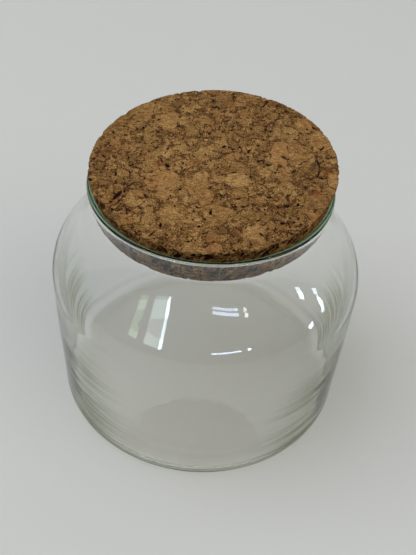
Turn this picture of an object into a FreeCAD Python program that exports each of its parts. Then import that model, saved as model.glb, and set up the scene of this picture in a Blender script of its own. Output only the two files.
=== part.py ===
import FreeCAD, Part
import math
import os

# A wide-mouth storage jar of clear glass, closed by a tapered stopper of agglomerated cork.
# Millimetres, +Z up. The origin is the centre of the jar's base, at the level that it stands on.
# The jar is turned about Z. The stopper is pushed in slightly cocked, deeper towards -X and -Y.

# Glass jar, outside
rim_radius = 51.3
rim_height = 118.7
lip_radius = 1.25          # the rim's fire-polished round
neck_radius = 50.2         # where the shoulder runs into the neck
neck_height = 108.0
neck_slope = 66.0          # degrees below level at which the shoulder leaves the neck
shoulder_radius = 68.6     # the widest place
shoulder_height = 70.8
foot_radius = 67.1         # foot of the wall, just above the heel
heel_radius = 6.1
bearing_width = 4.0        # flat ring that the jar stands on
punt_rise = 1.6            # how far the base is pushed up inside that ring

# Glass thickness
neck_wall = 1.8
shoulder_wall = 1.7
foot_wall = 2.1
floor_thickness = 2.8      # at the centre, above the punt
floor_dome = 1.2           # how much higher the floor's centre stands than its edge
inner_heel_radius = 5.0

# Handles of the outline's curves
neck_handle = 4.0
lip_handle = 4.5
shoulder_neck_handle = 23.0
shoulder_wall_handle = 12.5
wall_top_handle = 30.0
wall_foot_handle = 12.0

# Cork stopper
cork_top_radius = 50.8
cork_bottom_radius = 47.6
cork_thickness = 18.45
cork_edge = 0.5            # worn edge, top and bottom
cork_top_height = 8.4      # centre of its top above the rim
cork_shift_x = 0.25
cork_shift_y = -0.2
cork_rise_x = 2.5          # degrees that its +X side stands up
cork_rise_y = 3.2          # degrees that its +Y side stands up

# Chips broken out of the stopper's top edge: angle from +X in degrees, radius, and depth into the edge
edge_chips = [
    (64.4, 3.2, 1.3),
    (99.9, 2.8, 0.9),
    (128.0, 3.8, 1.0),
    (142.2, 3.0, 1.0),
    (161.5, 2.6, 0.8),
    (208.0, 2.8, 1.0),
    (338.0, 2.4, 0.7),
]


def point(radius, height):
    """A point of the jar's outline, in the plane that is turned about Z."""
    return FreeCAD.Vector(radius, 0, height)


def stepped(start, degrees, length):
    """The point a length away from start, at an angle in degrees above level and outwards."""
    angle = math.radians(degrees)
    return start + point(length * math.cos(angle), length * math.sin(angle))


def curve(*poles):
    """An edge along the Bezier curve with these control points."""
    bezier = Part.BezierCurve()
    bezier.setPoles(list(poles))
    return bezier.toShape()


def round_edge(centre, radius, start_degrees, end_degrees):
    """An edge along a circle's arc, between two angles above level."""
    middle = (start_degrees + end_degrees) / 2
    ends = [stepped(centre, degrees, radius) for degrees in (start_degrees, middle, end_degrees)]
    return Part.Arc(*ends).toShape()


def dome(centre, edge):
    """An edge along the parabola that is level at centre, on the axis, and goes down to edge."""
    return curve(centre, point(edge.x / 2, centre.z), edge)


def turned(edges):
    """The solid that a closed outline makes when it is turned about Z."""
    face = Part.Face(Part.Wire(edges))
    solid = face.revolve(FreeCAD.Vector(0, 0, 0), FreeCAD.Vector(0, 0, 1), 360)
    return Part.Solid(solid.Shells[0]) if solid.ShapeType != "Solid" else solid


def outer_edges():
    """The jar's outside, from the bottom of the punt to the lip."""
    bearing_out = point(foot_radius - heel_radius, 0)
    bearing_in = bearing_out - point(bearing_width, 0)
    punt_top = point(0, punt_rise)
    heel_centre = point(foot_radius - heel_radius, heel_radius)
    foot = point(foot_radius, heel_radius)
    widest = point(shoulder_radius, shoulder_height)
    neck = point(neck_radius, neck_height)
    lip = point(rim_radius, rim_height - lip_radius)
    wall = curve(
        foot,
        foot + point(0, wall_foot_handle),
        widest - point(0, wall_top_handle),
        widest,
    )
    shoulder = curve(
        widest,
        widest + point(0, shoulder_wall_handle),
        stepped(neck, -neck_slope, shoulder_neck_handle),
        neck,
    )
    collar = curve(
        neck,
        stepped(neck, 180 - neck_slope, neck_handle),
        lip - point(0, lip_handle),
        lip,
    )
    return [
        dome(punt_top, bearing_in),
        Part.makeLine(bearing_in, bearing_out),
        round_edge(heel_centre, heel_radius, -90, 0),
        wall,
        shoulder,
        collar,
    ]


def inner_edges():
    """The jar's inside, from the lip down to the middle of the floor."""
    lip = point(rim_radius - 2 * lip_radius, rim_height - lip_radius)
    neck = stepped(point(neck_radius, neck_height), -90 - neck_slope, neck_wall)
    neck_inwards = stepped(point(0, 0), 180 - neck_slope, neck_handle)
    widest = point(shoulder_radius - shoulder_wall, shoulder_height)
    floor_edge_height = punt_rise + floor_thickness - floor_dome
    heel_top = point(foot_radius - foot_wall, floor_edge_height + inner_heel_radius)
    heel_centre = heel_top - point(inner_heel_radius, 0)
    floor_edge = heel_centre - point(0, inner_heel_radius)
    floor_centre = point(0, punt_rise + floor_thickness)
    collar = curve(lip, lip - point(0, lip_handle), neck + neck_inwards, neck)
    shoulder = curve(
        neck,
        stepped(neck, -neck_slope, shoulder_neck_handle),
        widest + point(0, shoulder_wall_handle),
        widest,
    )
    wall = curve(
        widest,
        widest - point(0, wall_top_handle),
        heel_top + point(0, wall_foot_handle),
        heel_top,
    )
    return [
        collar,
        shoulder,
        wall,
        round_edge(heel_centre, inner_heel_radius, 0, -90),
        dome(floor_centre, floor_edge),
    ]


def make_jar():
    """The glass jar, hollow from the floor to the open mouth."""
    lip_centre = point(rim_radius - lip_radius, rim_height - lip_radius)
    lip = round_edge(lip_centre, lip_radius, 0, 180)
    axis = Part.makeLine(point(0, punt_rise + floor_thickness), point(0, punt_rise))
    return turned(outer_edges() + [lip] + inner_edges() + [axis])


def make_plug():
    """The stopper before it is pushed in: upright, with the middle of its top at the origin."""
    taper = (cork_top_radius - cork_bottom_radius) / cork_thickness
    corners = [
        point(0, -cork_thickness),
        point(cork_bottom_radius - cork_edge, -cork_thickness),
        point(cork_bottom_radius + taper * cork_edge, cork_edge - cork_thickness),
        point(cork_top_radius - taper * cork_edge, -cork_edge),
        point(cork_top_radius - cork_edge, 0),
        point(0, 0),
    ]
    closed = corners + corners[:1]
    edges = [Part.makeLine(a, b) for a, b in zip(closed, closed[1:])]
    plug = turned(edges)
    for degrees, radius, depth in edge_chips:
        angle = math.radians(degrees)
        reach = cork_top_radius + radius - depth
        centre = FreeCAD.Vector(reach * math.cos(angle), reach * math.sin(angle), radius / 2)
        plug = plug.cut(Part.makeSphere(radius, centre))
    return plug


def make_stopper(jar):
    """The stopper in the mouth, where the glass squeezes its lower half to the shape of the bore."""
    origin = FreeCAD.Vector(0, 0, 0)
    plug = make_plug()
    plug.rotate(origin, FreeCAD.Vector(0, 1, 0), -cork_rise_x)
    plug.rotate(origin, FreeCAD.Vector(1, 0, 0), cork_rise_y)
    plug.translate(FreeCAD.Vector(cork_shift_x, cork_shift_y, rim_height + cork_top_height))
    squeezed = plug.cut(jar)
    return max(squeezed.Solids, key=lambda solid: solid.Volume)


os.makedirs("parts", exist_ok=True)
glass_jar = make_jar()
cork_stopper = make_stopper(glass_jar)
parts = {"glass_jar": glass_jar, "cork_stopper": cork_stopper}
for name, shape in parts.items():
    shape.exportStep(f"parts/{name}.step")
    print(name, "valid" if shape.isValid() else "NOT VALID", f"{shape.Volume / 1000:.1f} cm3")
print(f"shared volume {glass_jar.common(cork_stopper).Volume:.3f} mm3")
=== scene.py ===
import bpy
import bmesh
import math
from mathutils import Matrix, Vector, noise


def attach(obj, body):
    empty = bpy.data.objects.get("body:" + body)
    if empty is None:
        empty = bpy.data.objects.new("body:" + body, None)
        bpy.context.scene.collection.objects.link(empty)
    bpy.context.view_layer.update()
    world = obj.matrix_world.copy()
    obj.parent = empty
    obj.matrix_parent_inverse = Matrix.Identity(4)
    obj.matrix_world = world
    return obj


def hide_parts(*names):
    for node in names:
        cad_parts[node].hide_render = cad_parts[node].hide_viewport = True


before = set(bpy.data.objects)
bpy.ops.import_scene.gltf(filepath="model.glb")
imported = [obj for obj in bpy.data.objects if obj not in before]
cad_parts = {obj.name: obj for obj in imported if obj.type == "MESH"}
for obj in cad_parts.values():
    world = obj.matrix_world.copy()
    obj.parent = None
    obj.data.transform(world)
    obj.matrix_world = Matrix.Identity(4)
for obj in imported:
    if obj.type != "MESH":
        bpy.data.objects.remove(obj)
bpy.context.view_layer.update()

mm = 0.001
smooth = {"interpolation_type": "SMOOTHSTEP"}      # for Map Range: 0 value, 1 and 2 from, 3 and 4 to


def colour(code):
    # an sRGB hex code as the linear colour that a socket takes
    parts = [int(code[i:i + 2], 16) / 255 for i in (0, 2, 4)]
    linear = [c / 12.92 if c <= 0.04045 else ((c + 0.055) / 1.055) ** 2.4 for c in parts]
    return (*linear, 1.0)


def addNode(tree, kind, links=None, **settings):
    # one node, with its settings, its plain input values, and the sockets or nodes that feed it.
    # A node feeds by its first output.
    node = tree.nodes.new(kind)
    for name, value in settings.items():
        setattr(node, name, value)
    for key, value in (links or {}).items():
        if isinstance(value, bpy.types.Node):
            value = value.outputs[0]
        if isinstance(value, bpy.types.NodeSocket):
            tree.links.new(value, node.inputs[key])
        else:
            node.inputs[key].default_value = value
    return node


def newMaterial(name):
    material = bpy.data.materials.new(name)
    material.use_nodes = True
    material.node_tree.nodes.clear()
    return material, material.node_tree


def finishPiece(name, mesh, material, node):
    # a finished mesh at the origin, on the jar's only body, in place of its CAD node
    piece = bpy.data.objects.new(name, mesh)
    bpy.context.scene.collection.objects.link(piece)
    mesh.materials.clear()
    mesh.materials.append(material)
    for polygon in mesh.polygons:
        polygon.use_smooth = True
    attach(piece, "root")
    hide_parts(node)


def bezier(poles, steps):
    # points along a cubic curve, without its first
    a, b, c, d = poles
    points = []
    for i in range(1, steps + 1):
        t = i / steps
        s = 1 - t
        points.append(a * s ** 3 + b * 3 * s * s * t + c * 3 * s * t * t + d * t ** 3)
    return points


def arc(centre, radius, start, end, steps):
    # points along an arc between two angles in degrees, without its first
    points = []
    for i in range(1, steps + 1):
        angle = math.radians(start + (end - start) * i / steps)
        points.append(centre + Vector((math.cos(angle), math.sin(angle))) * radius)
    return points


# all lengths and heights are in mm
jar = {
    "turns": 288,                # faces round the jar
    "floorSteps": 24, "ringSteps": 4, "roundSteps": 14, "wallSteps": 34,     # and along its section
    "rimRadius": 51.3, "rimHeight": 118.7, "lipRadius": 1.25,
    "neckRadius": 50.2, "neckHeight": 108.0, "neckSlope": 66.0,
    "shoulderRadius": 68.6, "shoulderHeight": 70.8,
    "footRadius": 67.1, "heelRadius": 6.1,
    "bearingWidth": 4.0, "puntRise": 1.6,
    "neckWall": 1.8, "shoulderWall": 1.7, "footWall": 2.1,
    "floorThickness": 2.8, "floorDome": 1.2, "innerHeel": 5.0,
    # handles of the section's curves
    "neckHandle": 4.0, "lipHandle": 4.5,
    "shoulderNeckHandle": 23.0, "shoulderWallHandle": 12.5,
    "wallTopHandle": 30.0, "wallFootHandle": 12.0,
    # how far the wall wanders, as mould-blown glass does, in folds of this length and height
    "ripple": 0.06, "rippleLength": 60.0, "rippleHeight": 4.0,
    "outerShare": 0.4,           # how much of that the outside has
    "rippleFoot": 6.0, "rippleFull": 18.0,       # the folds start at the first height, full from the second,
    "rippleFades": 50.0, "rippleTop": 80.0,      # and fade out between these
    "floorRipple": 0.12, "floorRippleWidth": 16.0,
    # the glass itself
    "ior": 1.52,
    "streakLength": 62.5, "streakHeight": 3.03,
    "streakFull": 30.0, "streakTop": 70.0,       # streaks are strong up to here, and faint from here
    "heelTop": 90.0, "lipFoot": 112.0,           # the green changes from the heel's to the lip's
    # the streak colour is partly the glass's own edge-on tint and partly painted shade
    "clear": "ffffff", "streakTintAndShade": "6c7250", "shadow": "f6f5f3",
    "heelGreen": "a7b598", "lipGreen": "82a892",
    "absorbs": (0.1, 0.5, 0.0, 1.0), "absorbDensity": 5.0,
}


def jarOutline():
    # half of the jar's section: up its outside from the middle of the punt, and down its inside from the lip
    j = jar
    slope = math.radians(j["neckSlope"])
    alongShoulder = Vector((math.cos(slope), -math.sin(slope)))      # down from the neck
    intoGlass = Vector((-math.sin(slope), -math.cos(slope)))
    up = Vector((0, 1))
    ringOut = Vector((j["footRadius"] - j["heelRadius"], 0))
    ringIn = ringOut - Vector((j["bearingWidth"], 0))
    heelCentre = ringOut + up * j["heelRadius"]
    foot = Vector((j["footRadius"], j["heelRadius"]))
    widest = Vector((j["shoulderRadius"], j["shoulderHeight"]))
    neck = Vector((j["neckRadius"], j["neckHeight"]))
    lip = Vector((j["rimRadius"], j["rimHeight"] - j["lipRadius"]))
    lipCentre = lip - Vector((j["lipRadius"], 0))
    lipIn = lipCentre - Vector((j["lipRadius"], 0))
    neckIn = neck + intoGlass * j["neckWall"]
    widestIn = widest - Vector((j["shoulderWall"], 0))
    floorTop = j["puntRise"] + j["floorThickness"]
    heelIn = Vector((j["footRadius"] - j["footWall"], floorTop - j["floorDome"] + j["innerHeel"]))
    heelInCentre = heelIn - Vector((j["innerHeel"], 0))
    # the handles of the curves
    wallFoot = up * j["wallFootHandle"]
    wallTop = up * j["wallTopHandle"]
    shoulderFoot = up * j["shoulderWallHandle"]
    shoulderTop = alongShoulder * j["shoulderNeckHandle"]
    collarFoot = alongShoulder * j["neckHandle"]
    collarTop = up * j["lipHandle"]

    outer = [up * j["puntRise"]]
    for i in range(1, j["floorSteps"] + 1):
        t = i / j["floorSteps"]
        outer.append(Vector((ringIn.x * t, j["puntRise"] * (1 - t * t))))
    outer += [ringIn.lerp(ringOut, i / j["ringSteps"]) for i in range(1, j["ringSteps"] + 1)]
    outer += arc(heelCentre, j["heelRadius"], -90, 0, j["roundSteps"])
    outer += bezier((foot, foot + wallFoot, widest - wallTop, widest), j["wallSteps"])
    outer += bezier((widest, widest + shoulderFoot, neck + shoulderTop, neck), j["wallSteps"])
    outer += bezier((neck, neck - collarFoot, lip - collarTop, lip), j["roundSteps"])

    inner = arc(lipCentre, j["lipRadius"], 0, 180, j["roundSteps"])
    inner += bezier((lipIn, lipIn - collarTop, neckIn - collarFoot, neckIn), j["roundSteps"])
    inner += bezier((neckIn, neckIn + shoulderTop, widestIn + shoulderFoot, widestIn), j["wallSteps"])
    inner += bezier((widestIn, widestIn - wallTop, heelIn + wallFoot, heelIn), j["wallSteps"])
    inner += arc(heelInCentre, j["innerHeel"], 0, -90, j["roundSteps"])
    floorEdge = inner[-1].x
    for i in range(1, j["floorSteps"] + 1):
        t = 1 - i / j["floorSteps"]
        inner.append(Vector((floorEdge * t, floorTop - j["floorDome"] * t * t)))
    return outer, inner


def makeJar():
    # the section turned once round
    outer, inner = jarOutline()
    bm = bmesh.new()
    section = [bm.verts.new((p.x * mm, 0, p.y * mm)) for p in outer + inner]
    edges = [bm.edges.new(pair) for pair in zip(section, section[1:])]
    bmesh.ops.spin(bm, geom=section + edges, cent=(0, 0, 0), axis=(0, 0, 1),
                   angle=2 * math.pi, steps=jar["turns"], use_merge=True, use_duplicate=False)
    bmesh.ops.remove_doubles(bm, verts=bm.verts, dist=0.01 * mm)
    bmesh.ops.recalc_face_normals(bm, faces=bm.faces)
    mesh = bpy.data.meshes.new("jarGlass")
    bm.to_mesh(mesh)
    bm.free()
    return mesh


def moltenWander(mesh):
    # the wall wanders in long level folds, each side in its own, so that it bends what is behind it.
    # The floor's top swells a little.
    j = jar
    normals = [vertex.normal.copy() for vertex in mesh.vertices]
    floorTop = j["puntRise"] + j["floorThickness"] + 0.1
    level = 0.9                  # how far up a face looks on the floor
    foldTurn = j["shoulderRadius"] / j["rippleLength"]
    for vertex, normal in zip(mesh.vertices, normals):
        place = vertex.co / mm
        if normal.z > level and place.z < floorTop:
            swell = noise.noise(place / j["floorRippleWidth"])
            place.z += j["floorRipple"] * swell * min(1.0, (normal.z - level) / 0.08)
            vertex.co = place * mm
            continue
        radius = math.hypot(place.x, place.y)
        if radius < 20:          # the punt has no folds
            continue
        outward = Vector((place.x, place.y, 0)) / radius
        inside = normal.dot(outward) < 0
        fold = noise.noise(Vector((outward.x * foldTurn, outward.y * foldTurn,
                                   place.z / j["rippleHeight"] + inside * 40)))
        # the outside only ever moves inwards
        amount = j["ripple"] * (fold if inside else j["outerShare"] * (fold - 2))
        amount *= min(1.0, max(0.0, (j["rippleTop"] - place.z) / (j["rippleTop"] - j["rippleFades"])))
        amount *= min(1.0, max(0.0, (place.z - j["rippleFoot"]) / (j["rippleFull"] - j["rippleFoot"])))
        vertex.co = (place + outward * amount) * mm


def glassMaterial():
    # clear soda-lime glass, blown in a mould: a smooth skin, low olive streaks where the wall is seen
    # edge-on, partly the glass's own tint and partly painted shade, and otherwise green only where light runs
    # along inside it
    j = jar
    material, tree = newMaterial("sodaLimeGlassBlown")
    place = addNode(tree, "ShaderNodeTexCoord").outputs["Object"]
    height = addNode(tree, "ShaderNodeSeparateXYZ", {0: place}).outputs[2]
    # level olive streaks in the lower wall, where it is seen edge-on: partly the glass's own tint along its
    # long path, partly painted shade of dark surroundings that the folds bend into view
    facing = addNode(tree, "ShaderNodeLayerWeight", {"Blend": 0.5}).outputs["Facing"]
    edgeOn = addNode(tree, "ShaderNodeMapRange", {0: facing, 1: 0.5, 2: 0.72}, **smooth)
    low = addNode(tree, "ShaderNodeMapRange", {
        0: height, 1: j["streakFull"] * mm, 2: j["streakTop"] * mm, 3: 1.0, 4: 0.08}, **smooth)
    perMetre = (1 / (j["streakLength"] * mm), 1 / (j["streakLength"] * mm), 1 / (j["streakHeight"] * mm))
    drawn = addNode(tree, "ShaderNodeVectorMath", {0: place, 1: perMetre}, operation="MULTIPLY")
    streaks = addNode(tree, "ShaderNodeTexNoise", {"Vector": drawn, "Scale": 1.0, "Detail": 2.0})
    strength = addNode(tree, "ShaderNodeMapRange", {0: streaks, 1: 0.38, 2: 0.58, 3: 0.3, 4: 1.0}, **smooth)
    lowStreaks = addNode(tree, "ShaderNodeMath", {0: low, 1: strength}, operation="MULTIPLY")
    tintAndShadeStreaks = addNode(tree, "ShaderNodeMath", {0: edgeOn, 1: lowStreaks}, operation="MULTIPLY")
    glass = addNode(tree, "ShaderNodeBsdfPrincipled", {
        "Base Color": colour(j["clear"]), "Roughness": 0.0, "IOR": j["ior"], "Transmission Weight": 1.0})
    olive = addNode(tree, "ShaderNodeBsdfPrincipled", {
        "Base Color": colour(j["streakTintAndShade"]), "Roughness": 0.0, "IOR": j["ior"], "Transmission Weight": 1.0})
    skin = addNode(tree, "ShaderNodeMixShader", {0: tintAndShadeStreaks, 1: glass, 2: olive})
    # light that has run along inside the wall comes out green, most of all at the lip
    path = addNode(tree, "ShaderNodeLightPath")
    trapped = addNode(tree, "ShaderNodeMath", {
        0: path.outputs["Glossy Depth"], 1: 1.5}, operation="GREATER_THAN")
    nearLip = addNode(tree, "ShaderNodeMapRange", {
        0: height, 1: j["heelTop"] * mm, 2: j["lipFoot"] * mm}, **smooth)
    green = addNode(tree, "ShaderNodeMix", {
        0: nearLip, 6: colour(j["heelGreen"]), 7: colour(j["lipGreen"])}, data_type="RGBA")
    guided = addNode(tree, "ShaderNodeBsdfTransparent", {"Color": green.outputs[2]})
    body = addNode(tree, "ShaderNodeMixShader", {0: trapped, 1: skin, 2: guided})
    # lamps reach what is behind the glass
    unlit = addNode(tree, "ShaderNodeMath", {
        0: path.outputs["Is Shadow Ray"], 1: path.outputs["Is Diffuse Ray"]}, operation="MAXIMUM")
    clear = addNode(tree, "ShaderNodeBsdfTransparent", {"Color": colour(j["shadow"])})
    surface = addNode(tree, "ShaderNodeMixShader", {0: unlit, 1: body, 2: clear})
    tint = addNode(tree, "ShaderNodeVolumeAbsorption", {"Color": j["absorbs"], "Density": j["absorbDensity"]})
    addNode(tree, "ShaderNodeOutputMaterial", {"Surface": surface, "Volume": tint})
    return material


cork = {
    "topRadius": 50.8, "bottomRadius": 47.6, "thickness": 18.45,
    "topHeight": 8.4,            # the middle of its top above the rim
    "shift": (0.25, -0.2),
    "rise": (2.5, 3.2),          # degrees that its +X and +Y sides stand up
    "gridCuts": 180, "sideRings": 30,
    "edge": 0.5,                 # worn edge, top and bottom
    "gap": 0.12,                 # left between the cork and the glass
    "flake": 9.5, "granule": 4.4, "crumb": 2.0,      # how wide the three sizes of granules are
    "wholeFlakes": 0.76, "crumbled": 0.42,           # lots above these are whole flakes, or broken to crumbs
    # how light a granule is, and what changes that: the side's darkening is painted shade
    "tone": 0.81, "lotTone": 0.25, "paleTone": 0.08, "dimTone": 0.05, "sideShade": 0.12, "outerTone": 0.06,
    # fine grain, growth lines and clouds: their sizes, and how strong each is in the granules and the flakes
    "grain": 0.5, "lines": 0.5, "clouds": 3.0,
    "grainTone": (1.9, 1.2), "linesTone": (0.2, 1.2), "cloudTone": (0.5, 0.5),
    "seamWidth": 0.34,
    # gashes in a share of the cells: cell size, axis, turn in degrees, how drawn out, share, width
    "topGashes": (
        (4.0, "Z", 10, 2.8, 0.26, 0.75), (4.6, "Z", 100, 3.2, 0.22, 0.7), (5.0, "Z", 50, 3.0, 0.22, 0.75),
    ),
    "sideGashes": (
        (2.2, "X", -40, 3.2, 0.9, 1.1), (2.2, "Y", 40, 3.2, 0.9, 1.1), (3.4, "Y", 55, 2.6, 0.7, 1.7),
    ),
    # where the largest marks lie on the top: x, y, turn in degrees, length, width
    "gaps": (
        (-35.0, -23.3, 63, 11.2, 0.7), (-36.6, -21.1, 62, 7.7, 2.3), (-32.3, -15.0, 47, 8.8, 0.8),
        (-41.7, -27.3, -57, 5.2, 2.8), (-31.5, -28.6, -37, 4.7, 0.9), (-38.7, -8.4, -83, 3.7, 1.1),
        (-41.5, -8.8, 7, 3.9, 0.5), (-48.3, -12.5, -41, 2.4, 1.6), (-18.2, -36.6, -85, 3.0, 1.3),
        (-21.0, -41.6, 53, 4.9, 0.8), (-7.0, -44.6, 9, 3.8, 0.8), (-0.8, -14.6, 40, 3.0, 0.9),
        (-23.3, -8.6, 13, 5.1, 0.5), (-13.0, 45.8, -17, 3.1, 1.2), (-24.8, 27.8, 37, 2.0, 1.3),
        (-16.0, 23.6, -21, 2.0, 1.2), (-34.7, 17.3, -11, 3.4, 0.7), (-23.9, 19.4, -26, 4.2, 0.7),
        (-20.6, 17.9, -25, 4.7, 0.5), (-6.6, 19.8, -68, 4.9, 0.7), (-33.2, 26.1, -20, 2.8, 0.9),
        (-43.1, 18.1, -63, 2.7, 1.3), (-18.6, -2.0, -40, 3.4, 2.0), (-21.1, 0.7, -69, 4.6, 0.8),
        (-23.9, 9.1, 24, 2.7, 1.1), (-3.0, 1.0, -11, 2.9, 0.6), (-2.8, -0.6, -11, 2.8, 0.8),
        (21.3, 42.6, 67, 4.0, 1.3), (20.2, 40.1, 66, 3.7, 0.8), (6.8, 45.3, -89, 9.1, 0.5),
        (-0.8, 38.0, 61, 2.7, 1.2), (4.7, 28.8, 36, 3.3, 1.0), (21.0, 23.5, 25, 1.9, 1.4),
        (30.0, 36.7, -39, 1.7, 1.3), (30.5, 21.0, -14, 3.1, 0.7), (41.6, 25.5, -46, 3.9, 1.2),
        (44.3, 12.0, 55, 3.4, 1.1), (38.4, 9.3, -24, 3.6, 0.5), (41.5, 9.3, 21, 4.3, 0.5),
        (28.5, 5.4, -41, 3.2, 1.6), (35.1, 1.7, 36, 2.2, 0.9), (37.2, 3.4, 36, 2.6, 0.8),
        (42.4, 2.7, -77, 7.6, 0.9), (42.4, -3.5, -104, 7.0, 0.9), (14.1, 8.2, -81, 3.0, 1.1),
        (7.9, 9.5, -20, 2.7, 1.0), (3.8, 11.1, 43, 3.0, 1.0), (20.0, 3.5, 15, 2.8, 0.7),
        (7.2, -5.4, 27, 8.9, 0.45), (10.5, -20.6, 20, 3.6, 0.7), (13.3, -24.6, 19, 4.7, 1.1),
        (9.7, -26.1, -40, 2.9, 0.9), (4.0, -19.0, -54, 4.1, 0.8), (22.5, -19.2, -10, 2.1, 1.1),
        (33.8, -22.5, 68, 2.4, 1.2), (40.1, -25.8, 50, 2.2, 1.2), (27.7, -33.2, 28, 2.6, 1.9),
    ),
    "smuts": (
        (-4.6, -23.8, -22, 5.0, 3.2), (8.0, 26.1, 29, 10.8, 4.0), (26.4, 0.4, 19, 2.6, 2.2),
        (38.8, -14.8, 41, 5.6, 3.0), (35.5, -8.6, -73, 4.6, 3.2), (23.5, -28.4, -69, 4.6, 3.2),
        (6.0, -13.1, -29, 3.1, 2.4), (28.2, -33.8, 28, 5.4, 3.5), (40.8, 0.9, 48, 4.7, 5.0),
        (29.0, 5.3, -60, 6.7, 4.0),
    ),
    "stains": (
        (-21.8, -1.1, 3, 7.2, 6.0), (-8.7, -26.9, 27, 6.6, 3.2), (0.9, -49.3, 6, 5.1, 3.0),
        (11.3, -22.9, 15, 1.7, 1.5), (45.9, -2.9, 16, 5.8, 5.5), (-48.8, 15.9, 69, 5.5, 3.0),
        (-39.5, -29.6, 62, 4.9, 2.2), (-24.3, -10.7, 3, 3.5, 3.0), (-37.1, -16.5, 47, 5.4, 2.5),
        (41.4, -15.9, -37, 12.1, 5.0),
    ),
    "splinters": ((-36.0, -22.8, 58, 15.0, 1.1), (-33.7, -25.9, 60, 5.0, 0.7)),
    "paleFlakes": (
        (-11.7, -1.0, 11, 7.2, 6.5), (-18.9, 5.6, 6, 6.0, 6.0), (-20.4, 23.1, 7, 5.4, 5.5),
        (-17.7, -20.0, 10, 7.7, 8.0), (16.8, -37.8, 5, 8.2, 5.0), (-14.3, 27.1, 8, 8.0, 6.0),
        (-29.4, -22.4, 65, 10.7, 9.0), (37.2, 25.8, -19, 7.4, 8.5), (28.9, -3.3, 6, 7.5, 5.0),
        (-6.9, -33.1, 5, 8.6, 4.5), (-2.6, 7.6, 14, 7.0, 6.0), (20.9, -4.6, -35, 5.2, 5.0),
        (2.7, -9.5, 15, 6.0, 4.5),
    ),
    "dimFlakes": (
        (-42.2, -12.9, 9, 6.2, 5.0), (-39.8, -21.8, 53, 5.2, 4.5), (14.0, 45.0, -5, 12.7, 6.0),
        (19.0, -30.5, 10, 9.2, 5.5), (3.8, 45.0, -6, 4.8, 8.0), (-40.9, 26.6, 7, 12.3, 7.0),
        (-7.1, -38.6, 1, 7.4, 7.0), (-19.2, -39.6, -14, 7.4, 7.0), (-25.3, -39.2, -35, 6.3, 4.0),
    ),
    # notches in the top edge: degrees from +X, width and depth in mm
    "notches": (
        (64.4, 2.6, 1.3), (52.5, 1.6, 0.7), (73.8, 1.8, 0.5), (99.9, 2.4, 0.9), (113.0, 1.6, 0.5),
        (128.0, 3.4, 1.0), (142.2, 2.6, 1.0), (152.0, 1.8, 0.5), (161.5, 2.2, 0.8), (24.6, 2.2, 0.8),
        (16.6, 2.4, 0.7), (38.0, 1.8, 0.5), (354.9, 2.0, 0.6), (338.0, 2.2, 0.7), (208.0, 2.6, 1.0),
        (226.0, 1.8, 0.5), (256.0, 2.0, 0.5), (285.0, 1.8, 0.6), (310.0, 2.0, 0.5), (186.0, 1.6, 0.5),
    ),
    # from the near black painted into open pits as their shade to that of the palest flake
    "shades": ("190702", "2f1908", "442810", "573819", "67451f", "745129", "805c2f", "8c6638", "98723e",
               "a47c48", "b18952", "c29a60"),
    "shadeSteps": (0.08, 0.19, 0.30, 0.41, 0.50, 0.57, 0.64, 0.71, 0.79, 0.86, 0.94, 1.0),
    "rust": "8c4a1c", "splinter": "9a5a34", "smut": "3a3025",
    "seamDepth": 0.18, "pitDepth": 0.8,
}


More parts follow.
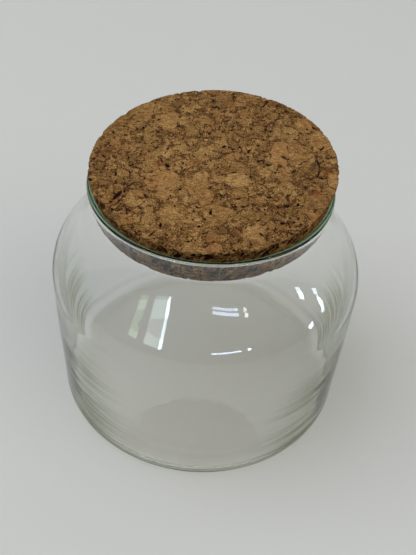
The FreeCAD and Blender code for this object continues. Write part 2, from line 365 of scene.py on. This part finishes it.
def corkPattern(tree, place):
    # the granules, in mm: big flakes, granules between them and crumbs between those.
    # The relief and the colours both read it, so a pit is painted dark, as shade, where it is deep.
    c = cork

    def mottle(size, detail, shift, vector=place):
        # soft blotches of this size; each use has its own shift, so that no two are alike
        moved = addNode(tree, "ShaderNodeVectorMath", {0: vector, 1: (shift, 0, shift)}, operation="ADD")
        return addNode(tree, "ShaderNodeTexNoise", {
            "Vector": moved, "Scale": 1 / size, "Detail": detail, "Roughness": 0.6})

    def warped(size, amount):
        # the place, pushed about so that straight edges come out ragged
        push = addNode(tree, "ShaderNodeTexNoise", {"Vector": place, "Scale": 1 / size, "Detail": 3.0})
        centred = addNode(tree, "ShaderNodeVectorMath", {
            0: push.outputs["Color"], 1: (0.5, 0.5, 0.5)}, operation="SUBTRACT")
        pushed = addNode(tree, "ShaderNodeVectorMath", {0: centred, "Scale": amount}, operation="SCALE")
        return addNode(tree, "ShaderNodeVectorMath", {0: place, 1: pushed}, operation="ADD")

    bent = warped(2.4, 2.6)
    ragged = warped(1.3, 1.1)

    def turned(degrees, stretch, axis):
        # the place turned about an axis, and drawn out along the new X, or Y when it is turned about X
        spun = addNode(tree, "ShaderNodeVectorRotate", {
            "Vector": bent, "Angle": math.radians(degrees)}, rotation_type=axis + "_AXIS")
        drawn = (1, 1 / stretch, 1) if axis == "X" else (1 / stretch, 1, 1)
        return addNode(tree, "ShaderNodeVectorMath", {0: spun, 1: drawn}, operation="MULTIPLY")

    def cells(size):
        # granules of this size: how far in from their edge a place is, and three lots that each draws
        near = addNode(tree, "ShaderNodeTexVoronoi", {"Vector": bent, "Scale": 1 / size}, feature="F1")
        inwards = addNode(tree, "ShaderNodeTexVoronoi", {
            "Vector": bent, "Scale": 1 / size}, feature="DISTANCE_TO_EDGE")
        edge = addNode(tree, "ShaderNodeMath", {0: inwards, 1: size}, operation="MULTIPLY")
        return edge, addNode(tree, "ShaderNodeSeparateXYZ", {0: near.outputs["Color"]}).outputs

    def gashes(size, axis, degrees, stretch, share, width):
        # short open gashes of one direction, in a share of the cells of this size
        near = addNode(tree, "ShaderNodeTexVoronoi", {
            "Vector": turned(degrees, stretch, axis), "Scale": 1 / size}, feature="F1")
        lot = addNode(tree, "ShaderNodeSeparateXYZ", {0: near.outputs["Color"]})
        chosen = addNode(tree, "ShaderNodeMath", {0: lot, 1: 1 - share}, operation="GREATER_THAN")
        reach = addNode(tree, "ShaderNodeMapRange", {
            0: lot, 1: 1 - share, 2: 1.0, 3: 0.3 * width / size, 4: width / size}, **smooth)
        outwards = addNode(tree, "ShaderNodeMath", {0: near, 1: reach}, operation="DIVIDE")
        depth = addNode(tree, "ShaderNodeMapRange", {0: outwards, 1: 1.0, 2: 0.5, 3: 0.0, 4: 1.0}, **smooth)
        return addNode(tree, "ShaderNodeMath", {0: depth, 1: chosen}, operation="MULTIPLY")

    def placed(marks, soft):
        # 1 in the middle of each listed mark, 0 outside them
        nearest = 100.0
        for x, y, degrees, length, width in marks:
            off = addNode(tree, "ShaderNodeVectorMath", {0: ragged, 1: (x, y, 0)}, operation="SUBTRACT")
            spun = addNode(tree, "ShaderNodeVectorRotate", {
                "Vector": off, "Angle": math.radians(-degrees)}, rotation_type="Z_AXIS")
            sized = addNode(tree, "ShaderNodeVectorMath", {
                0: spun, 1: (length / 2, width / 2, 3)}, operation="DIVIDE")
            reach = addNode(tree, "ShaderNodeVectorMath", {0: sized}, operation="LENGTH").outputs["Value"]
            nearest = addNode(tree, "ShaderNodeMath", {0: nearest, 1: reach}, operation="MINIMUM")
        return addNode(tree, "ShaderNodeMapRange", {
            0: nearest, 1: 1 - soft, 2: 1.0, 3: 1.0, 4: 0.0}, **smooth)

    flakeEdge, flakeLot = cells(c["flake"])
    granuleEdge, granuleLot = cells(c["granule"])
    crumbEdge, crumbLot = cells(c["crumb"])
    isFlake = addNode(tree, "ShaderNodeMath", {0: flakeLot[1], 1: c["wholeFlakes"]}, operation="GREATER_THAN")
    isCrumb = addNode(tree, "ShaderNodeMath", {0: granuleLot[1], 1: c["crumbled"]}, operation="GREATER_THAN")
    # each place takes the edge, the lot and the hue of the granule that it is in
    brokenEdge = addNode(tree, "ShaderNodeMath", {0: granuleEdge, 1: crumbEdge}, operation="MINIMUM")
    smallEdge = addNode(tree, "ShaderNodeMix", {0: isCrumb, 2: granuleEdge, 3: brokenEdge})
    outerEdge = addNode(tree, "ShaderNodeMath", {0: flakeEdge, 1: smallEdge}, operation="MINIMUM")
    edge = addNode(tree, "ShaderNodeMix", {0: isFlake, 2: outerEdge, 3: flakeEdge})
    smallLot = addNode(tree, "ShaderNodeMix", {0: isCrumb, 2: granuleLot[0], 3: crumbLot[0]})
    lot = addNode(tree, "ShaderNodeMix", {0: isFlake, 2: smallLot, 3: flakeLot[0]})
    smallHue = addNode(tree, "ShaderNodeMix", {0: isCrumb, 2: granuleLot[2], 3: crumbLot[2]})
    hue = addNode(tree, "ShaderNodeMix", {0: isFlake, 2: smallHue, 3: flakeLot[2]})
    pale = placed(c["paleFlakes"], 0.12)
    dim = placed(c["dimFlakes"], 0.12)
    listed = addNode(tree, "ShaderNodeMath", {0: pale, 1: dim}, operation="MAXIMUM")
    whole = addNode(tree, "ShaderNodeMath", {0: isFlake, 1: listed}, operation="MAXIMUM")

    # how light each granule is: the middle of the top is the palest, and the side is painted darker, as shade
    fromLot = addNode(tree, "ShaderNodeMapRange", {0: lot, 3: -c["lotTone"] / 2, 4: c["lotTone"] / 2})
    fromDim = addNode(tree, "ShaderNodeMath", {0: dim, 1: -c["dimTone"]}, operation="MULTIPLY")
    fromList = addNode(tree, "ShaderNodeMath", {
        0: pale, 1: c["paleTone"], 2: fromDim}, operation="MULTIPLY_ADD")
    lift = addNode(tree, "ShaderNodeMix", {0: listed, 2: fromLot, 3: fromList})
    height = addNode(tree, "ShaderNodeSeparateXYZ", {0: place}).outputs[2]
    side = addNode(tree, "ShaderNodeMapRange", {0: height, 1: -1.8, 2: -0.6, 3: 1.0, 4: 0.0}, **smooth)
    away = addNode(tree, "ShaderNodeVectorMath", {0: place}, operation="LENGTH").outputs["Value"]
    outer = addNode(tree, "ShaderNodeMapRange", {0: away, 1: 15.0, 2: 50.0}, **smooth)
    tone = addNode(tree, "ShaderNodeMath", {0: lift, 1: c["tone"]}, operation="ADD")
    # the side is painted darker as shade; the top also darkens towards its edge
    for where, change in ((side, c["sideShade"]), (outer, c["outerTone"])):
        tone = addNode(tree, "ShaderNodeMath", {0: where, 1: -change, 2: tone}, operation="MULTIPLY_ADD")
    grain = mottle(c["grain"], 3.0, 5.0)
    lines = mottle(c["lines"], 2.0, 3.0, turned(12, 6.0, "Z"))
    clouds = mottle(c["clouds"], 3.0, 23.0)
    speckles = ((grain, c["grainTone"]), (lines, c["linesTone"]), (clouds, c["cloudTone"]))
    for speckle, (small, large) in speckles:
        centred = addNode(tree, "ShaderNodeMath", {0: speckle, 1: 0.5}, operation="SUBTRACT")
        amount = addNode(tree, "ShaderNodeMix", {0: whole, 2: small, 3: large})
        tone = addNode(tree, "ShaderNodeMath", {0: centred, 1: amount, 2: tone}, operation="MULTIPLY_ADD")

    # a seam shows only here and there, and less between crumbs and in the listed flakes
    seamHere = addNode(tree, "ShaderNodeMapRange", {0: mottle(2.6, 2.0, 11.0), 1: 0.42, 2: 0.56}, **smooth)
    seam = addNode(tree, "ShaderNodeMapRange", {0: edge, 1: 0.0, 2: c["seamWidth"], 3: 1.0, 4: 0.0}, **smooth)
    inCrumbs = addNode(tree, "ShaderNodeMapRange", {0: isCrumb, 3: 1.0, 4: 0.8})
    inListed = addNode(tree, "ShaderNodeMapRange", {0: listed, 3: 1.0, 4: 0.3})
    for share in (seamHere, inCrumbs, inListed):
        seam = addNode(tree, "ShaderNodeMath", {0: seam, 1: share}, operation="MULTIPLY")

    # gashes and pits are open and painted near black as the shade in them, and on the side the granules lie
    # edge-on with gashes between them
    pitHere = addNode(tree, "ShaderNodeMapRange", {0: mottle(1.5, 1.0, 37.0), 1: 0.645, 2: 0.69}, **smooth)
    atEdge = addNode(tree, "ShaderNodeMapRange", {0: edge, 1: 0.2, 2: 0.7, 3: 1.0, 4: 0.0}, **smooth)
    pit = addNode(tree, "ShaderNodeMath", {0: atEdge, 1: pitHere}, operation="MULTIPLY")
    for row in c["topGashes"]:
        pit = addNode(tree, "ShaderNodeMath", {0: pit, 1: gashes(*row)}, operation="MAXIMUM")
    for row in c["sideGashes"]:
        gash = addNode(tree, "ShaderNodeMath", {0: side, 1: gashes(*row)}, operation="MULTIPLY")
        pit = addNode(tree, "ShaderNodeMath", {0: pit, 1: gash}, operation="MAXIMUM")
    pit = addNode(tree, "ShaderNodeMath", {0: pit, 1: placed(c["gaps"], 0.45)}, operation="MAXIMUM")
    smutHere = addNode(tree, "ShaderNodeMapRange", {0: mottle(3.2, 3.0, 71.0), 1: 0.62, 2: 0.72}, **smooth)
    smut = addNode(tree, "ShaderNodeMath", {0: placed(c["smuts"], 0.8), 1: smutHere}, operation="MAXIMUM")
    return {"tone": tone, "hue": hue, "seam": seam, "pit": pit, "smut": smut,
            "stain": placed(c["stains"], 0.9), "splinter": placed(c["splinters"], 0.4)}


def makePlug():
    # the stopper, upright with the middle of its top at the origin: an even grid pressed to a disc,
    # drawn down to the side in rings and closed by a smaller copy of the disc
    c = cork
    bm = bmesh.new()
    bmesh.ops.create_grid(bm, x_segments=c["gridCuts"], y_segments=c["gridCuts"], size=1.0)
    for vertex in bm.verts:
        x, y = vertex.co.x, vertex.co.y
        vertex.co = Vector((x * math.sqrt(1 - y * y / 2), y * math.sqrt(1 - x * x / 2), 0)) * c["topRadius"]
    top = list(bm.faces)
    rim = [e for e in bm.edges if e.is_boundary]
    taper = (c["topRadius"] - c["bottomRadius"]) / c["thickness"]
    radius = c["topRadius"]
    for i in range(1, c["sideRings"] + 1):
        grown = bmesh.ops.extrude_edge_only(bm, edges=rim)["geom"]
        ring = [g for g in grown if isinstance(g, bmesh.types.BMVert)]
        rim = [g for g in grown if isinstance(g, bmesh.types.BMEdge) and g.is_boundary]
        depth = c["thickness"] * i / c["sideRings"]
        newRadius = c["topRadius"] - taper * depth
        for vertex in ring:
            vertex.co.x *= newRadius / radius
            vertex.co.y *= newRadius / radius
            vertex.co.z = -depth
        radius = newRadius
    bottom = bmesh.ops.duplicate(bm, geom=top)["geom"]
    for vertex in (g for g in bottom if isinstance(g, bmesh.types.BMVert)):
        vertex.co *= c["bottomRadius"] / c["topRadius"]
        vertex.co.z = -c["thickness"]
    bmesh.ops.remove_doubles(bm, verts=bm.verts, dist=0.01)
    bmesh.ops.recalc_face_normals(bm, faces=bm.faces)
    # the ragged and notched top edge
    for vertex in bm.verts:
        reach = math.hypot(vertex.co.x, vertex.co.y)
        hold = max(0.0, 1 + vertex.co.z / 3.5) * max(0.0, 1 - (c["topRadius"] - reach) / 5)
        if hold == 0:
            continue
        bearing = math.degrees(math.atan2(vertex.co.y, vertex.co.x))
        bite = 0.45 * noise.noise(vertex.co / 4.5) + 0.4 * noise.noise(vertex.co / 1.6)
        for degrees, width, depth in c["notches"]:
            away = abs((bearing - degrees + 180) % 360 - 180) * math.radians(c["topRadius"])
            bite += depth * max(0.0, 1 - away / width)
        shrink = 1 - max(0.0, bite) * hold / reach
        vertex.co.x *= shrink
        vertex.co.y *= shrink
    # both edges worn round
    for vertex in bm.verts:
        inFromSide = c["topRadius"] + taper * vertex.co.z - math.hypot(vertex.co.x, vertex.co.y)
        drop = 0.6 * max(0.0, c["edge"] - inFromSide) ** 2 / c["edge"]
        if vertex.co.z > -0.001:
            vertex.co.z -= drop
        elif vertex.co.z < -c["thickness"] + 0.001:
            vertex.co.z += drop
    mesh = bpy.data.meshes.new("corkPlug")
    bm.to_mesh(mesh)
    bm.free()
    return mesh


def corkRelief(mesh):
    # pushes the surface in at seams and pits, by the same pattern that colours it
    plug = bpy.data.objects.new("corkBlank", mesh)
    bpy.context.scene.collection.objects.link(plug)
    tree = bpy.data.node_groups.new("corkRelief", "GeometryNodeTree")
    tree.interface.new_socket("Geometry", in_out="INPUT", socket_type="NodeSocketGeometry")
    tree.interface.new_socket("Geometry", in_out="OUTPUT", socket_type="NodeSocketGeometry")
    blank = addNode(tree, "NodeGroupInput")
    place = addNode(tree, "GeometryNodeInputPosition")
    kept = addNode(tree, "GeometryNodeStoreNamedAttribute", {
        "Geometry": blank, "Name": "corkPlace", "Value": place}, data_type="FLOAT_VECTOR", domain="POINT")
    pattern = corkPattern(tree, place)
    # the darker granules stand a little lower
    lower = addNode(tree, "ShaderNodeMath", {0: pattern["tone"], 1: 0.85}, operation="SUBTRACT")
    lump = addNode(tree, "ShaderNodeMath", {0: lower, 1: 0.5}, operation="MULTIPLY")
    for part, depth in (("seam", cork["seamDepth"]), ("pit", cork["pitDepth"])):
        lump = addNode(tree, "ShaderNodeMath", {
            0: pattern[part], 1: -depth, 2: lump}, operation="MULTIPLY_ADD")
    height = addNode(tree, "ShaderNodeMath", {0: lump, 1: 0.0}, operation="MINIMUM")
    normal = addNode(tree, "GeometryNodeInputNormal")
    offset = addNode(tree, "ShaderNodeVectorMath", {0: normal, "Scale": height}, operation="SCALE")
    moved = addNode(tree, "GeometryNodeSetPosition", {"Geometry": kept, "Offset": offset})
    addNode(tree, "NodeGroupOutput", {0: moved})
    plug.modifiers.new("relief", "NODES").node_group = tree
    seen = plug.evaluated_get(bpy.context.evaluated_depsgraph_get())
    carved = bpy.data.meshes.new_from_object(seen)
    bpy.data.objects.remove(plug)
    carved.name = "corkStopper"
    return carved


def boreRadius(height):
    # the narrowest that the inside of the jar is at a height in the neck or the shoulder
    inner = jarOutline()[1][:2 * jar["roundSteps"] + jar["wallSteps"]]
    found = []
    for a, b in zip(inner, inner[1:]):
        low, high = sorted((a.y, b.y))
        if low <= height <= high and high > low:
            found.append(a.x + (b.x - a.x) * (height - a.y) / (b.y - a.y))
    return min(found)


def pressIn(mesh):
    # stands the plug in the mouth, cocked, squeezes it to the bore, and brings it from mm to metres
    c = cork
    riseX, riseY = c["rise"]
    lean = Matrix.Rotation(math.radians(riseY), 4, "X") @ Matrix.Rotation(math.radians(-riseX), 4, "Y")
    put = Matrix.Translation((*c["shift"], jar["rimHeight"] + c["topHeight"]))
    mesh.transform(put @ lean)
    lowest, step = 90.0, 0.25
    table = [boreRadius(lowest + i * step) for i in range(int((jar["rimHeight"] - lowest) / step) + 1)]
    for vertex in mesh.vertices:
        index = int((vertex.co.z - lowest) / step)
        if index >= len(table):  # above the rim
            continue
        limit = table[index] - c["gap"]
        reach = math.hypot(vertex.co.x, vertex.co.y)
        if reach > limit:
            vertex.co.x *= limit / reach
            vertex.co.y *= limit / reach
    mesh.transform(Matrix.Scale(mm, 4))


def corkMaterial():
    # agglomerated cork, pressed and sanded: matt granules of many browns with dark seams, and open pits
    # painted near black as shade
    c = cork
    material, tree = newMaterial("agglomeratedCorkSanded")
    place = addNode(tree, "ShaderNodeAttribute", attribute_name="corkPlace").outputs["Vector"]
    p = corkPattern(tree, place)
    # seams are the dark joints between granules; pits and gashes are painted near black, as the shade inside
    # them
    seam = addNode(tree, "ShaderNodeMath", {0: p["seam"], 1: 0.62}, operation="MULTIPLY")
    seamsAndPitShade = addNode(tree, "ShaderNodeMath", {0: seam, 1: p["pit"]}, operation="MAXIMUM")
    light = addNode(tree, "ShaderNodeMapRange", {0: seamsAndPitShade, 3: 1.0, 4: 0.05})
    tone = addNode(tree, "ShaderNodeMath", {0: p["tone"], 1: light}, operation="MULTIPLY")
    brown = addNode(tree, "ShaderNodeValToRGB", {0: tone})
    shades = brown.color_ramp.elements
    shades.remove(shades[1])
    shades[0].position = c["shadeSteps"][0]
    for position in c["shadeSteps"][1:]:
        shades.new(position)
    for shade, code in zip(shades, c["shades"]):
        shade.color = colour(code)
    # rusty stains and granules, the reddish splinters, and grey smuts
    stain = addNode(tree, "ShaderNodeMath", {0: p["stain"], 1: 0.5}, operation="MULTIPLY")
    rusty = addNode(tree, "ShaderNodeMapRange", {0: p["hue"], 1: 0.84, 2: 0.98, 3: 0.0, 4: 0.22}, **smooth)
    rust = addNode(tree, "ShaderNodeMath", {0: stain, 1: rusty}, operation="MAXIMUM")
    splinter = addNode(tree, "ShaderNodeMath", {0: p["splinter"], 1: 0.8}, operation="MULTIPLY")
    smut = addNode(tree, "ShaderNodeMath", {0: p["smut"], 1: 0.4}, operation="MULTIPLY")
    shown = brown.outputs["Color"]
    for share, code in ((rust, c["rust"]), (splinter, c["splinter"]), (smut, c["smut"])):
        mixed = addNode(tree, "ShaderNodeMix", {0: share, 6: shown, 7: colour(code)}, data_type="RGBA")
        shown = mixed.outputs[2]
    raised = addNode(tree, "ShaderNodeMath", {0: p["tone"], 1: 1.2}, operation="MULTIPLY")
    rise = addNode(tree, "ShaderNodeMath", {0: raised, 1: seamsAndPitShade}, operation="SUBTRACT")
    bump = addNode(tree, "ShaderNodeBump", {"Strength": 1.0, "Distance": 0.5 * mm, "Height": rise})
    skin = addNode(tree, "ShaderNodeBsdfPrincipled", {
        "Base Color": shown, "Roughness": 0.85, "IOR": 1.45, "Specular IOR Level": 0.1, "Normal": bump})
    addNode(tree, "ShaderNodeOutputMaterial", {"Surface": skin})
    return material


# lit panels: name, degrees from +X and above level, metres away, width and height, brightness, tint
studio = {
    "floorColour": "cacbc8", "floorRadius": 3.0,
    "backdrop": "cfd2d2", "roomLight": "eef1f2",
    "roomLow": (0.28, 0.12), "roomHigh": (0.75, 0.68),       # how bright the room is, and at what height
    # two broad ceiling panels light the set, and no glass shows them
    "ceiling": (
        ("ceilingLeft", 185, 60, 2.6, (2.1, 2.1), 2.5, "f1f5fd"),
        ("ceilingRight", -30, 52, 2.6, (1.8, 1.8), 1.75, "fff1e0"),
    ),
    # small far windows give the glass its highlights
    "windows": (
        ("tallWindow", -121, 13.5, 1.5, (0.30, 0.22), 3.0, "d8f0ea"),
        ("tallWindowGap", -115.5, 13.5, 1.45, (0.05, 0.21), 13, "dcf2ff"),
        ("greenWindow", -135, 12, 1.5, (0.15, 0.14), 2.6, "d3efca"),
        ("blind", -73, 13, 1.5, (0.50, 0.03), 13, "cfe0ff"),
        ("blindEnd", -58, 12.5, 1.5, (0.06, 0.04), 16, "f4f6ff"),
        ("sideWindow", -14, 3, 1.5, (0.09, 0.06), 20, "dff4ff"),
        ("sideWindowFar", -1, 2.5, 1.5, (0.08, 0.05), 20, "dff4ff"),
    ),
    # a skylight shines on the rim only
    "skylights": (("skylight", 90, 72, 1.6, (1.4, 0.7), 18, "f8fbff"),),
    "aim": (0, 0, 0.09),
}


def floorMaterial():
    # a sheet of plain matt pale card
    material, tree = newMaterial("paleCardMatt")
    card = addNode(tree, "ShaderNodeBsdfPrincipled", {
        "Base Color": colour(studio["floorColour"]), "Roughness": 0.9, "Specular IOR Level": 0.1})
    addNode(tree, "ShaderNodeOutputMaterial", {"Surface": card})
    return material


def makeFloor():
    bm = bmesh.new()
    bmesh.ops.create_circle(bm, cap_ends=True, segments=64, radius=studio["floorRadius"])
    mesh = bpy.data.meshes.new("floor")
    bm.to_mesh(mesh)
    bm.free()
    floor = bpy.data.objects.new("floor", mesh)
    bpy.context.scene.collection.objects.link(floor)
    mesh.materials.append(floorMaterial())


def makeWorld():
    # the backdrop that the camera and the glass see, and the light of a room,
    # dim near the level and bright overhead
    world = bpy.data.worlds.new("studio")
    bpy.context.scene.world = world
    world.use_nodes = True
    tree = world.node_tree
    tree.nodes.clear()
    place = addNode(tree, "ShaderNodeTexCoord").outputs["Generated"]
    height = addNode(tree, "ShaderNodeSeparateXYZ", {0: place}).outputs[2]
    (low, dimmest), (high, brightest) = studio["roomLow"], studio["roomHigh"]
    level = addNode(tree, "ShaderNodeMapRange", {
        0: height, 1: low, 2: high, 3: dimmest, 4: brightest}, **smooth)
    room = addNode(tree, "ShaderNodeBackground", {"Color": colour(studio["roomLight"]), "Strength": level})
    backdrop = addNode(tree, "ShaderNodeBackground", {"Color": colour(studio["backdrop"]), "Strength": 1.0})
    path = addNode(tree, "ShaderNodeLightPath")
    direct = addNode(tree, "ShaderNodeMath", {
        0: path.outputs["Is Camera Ray"], 1: path.outputs["Is Transmission Ray"]}, operation="MAXIMUM")
    shown = addNode(tree, "ShaderNodeMixShader", {0: direct, 1: room, 2: backdrop})
    addNode(tree, "ShaderNodeOutputWorld", {"Surface": shown})


def softbox(name, bearing, rise, away, size, glow, tint):
    # one of the studio's lit panels
    lamp = bpy.data.lights.new(name, "AREA")
    lamp.shape = "RECTANGLE"
    lamp.size, lamp.size_y = size
    lamp.energy = math.pi * size[0] * size[1] * glow
    lamp.color = colour(tint)[:3]
    light = bpy.data.objects.new(name, lamp)
    bpy.context.scene.collection.objects.link(light)
    turn, climb = math.radians(bearing), math.radians(rise)
    towards = Vector((math.cos(turn) * math.cos(climb), math.sin(turn) * math.cos(climb), math.sin(climb)))
    facing = (-towards).to_track_quat("-Z", "Y").to_matrix().to_4x4()
    light.matrix_world = Matrix.Translation(Vector(studio["aim"]) + towards * away) @ facing
    return light


# degrees below level, and of roll
camera = {"place": (1.3, -272.4, 330.9), "down": 44.65, "roll": 4.02, "lens": 53.97}


def makeCamera():
    data = bpy.data.cameras.new("camera")
    data.lens = camera["lens"]
    data.sensor_width = 36
    data.clip_start = 0.01
    eye = bpy.data.objects.new("camera", data)
    bpy.context.scene.collection.objects.link(eye)
    tilt = Matrix.Rotation(math.radians(90 - camera["down"]), 4, "X")
    roll = Matrix.Rotation(math.radians(camera["roll"]), 4, "Z")
    eye.matrix_world = Matrix.Translation(Vector(camera["place"]) * mm) @ tilt @ roll
    bpy.context.scene.camera = eye


makeCamera()
makeWorld()
makeFloor()
for row in studio["ceiling"]:
    panel = softbox(*row)
    panel.visible_glossy = False
    panel.visible_transmission = False
for row in studio["windows"]:
    softbox(*row)
for row in studio["skylights"]:
    panel = softbox(*row)
    panel.visible_diffuse = False
    panel.visible_transmission = False
print("studio ready")

glassMesh = makeJar()
moltenWander(glassMesh)
finishPiece("jarGlass", glassMesh, glassMaterial(), "glass_jar")
print("glass jar made")

corkMesh = corkRelief(makePlug())
pressIn(corkMesh)
finishPiece("corkPlug", corkMesh, corkMaterial(), "cork_stopper")
print("cork stopper made")

bpy.context.scene.view_settings.view_transform = "Standard"
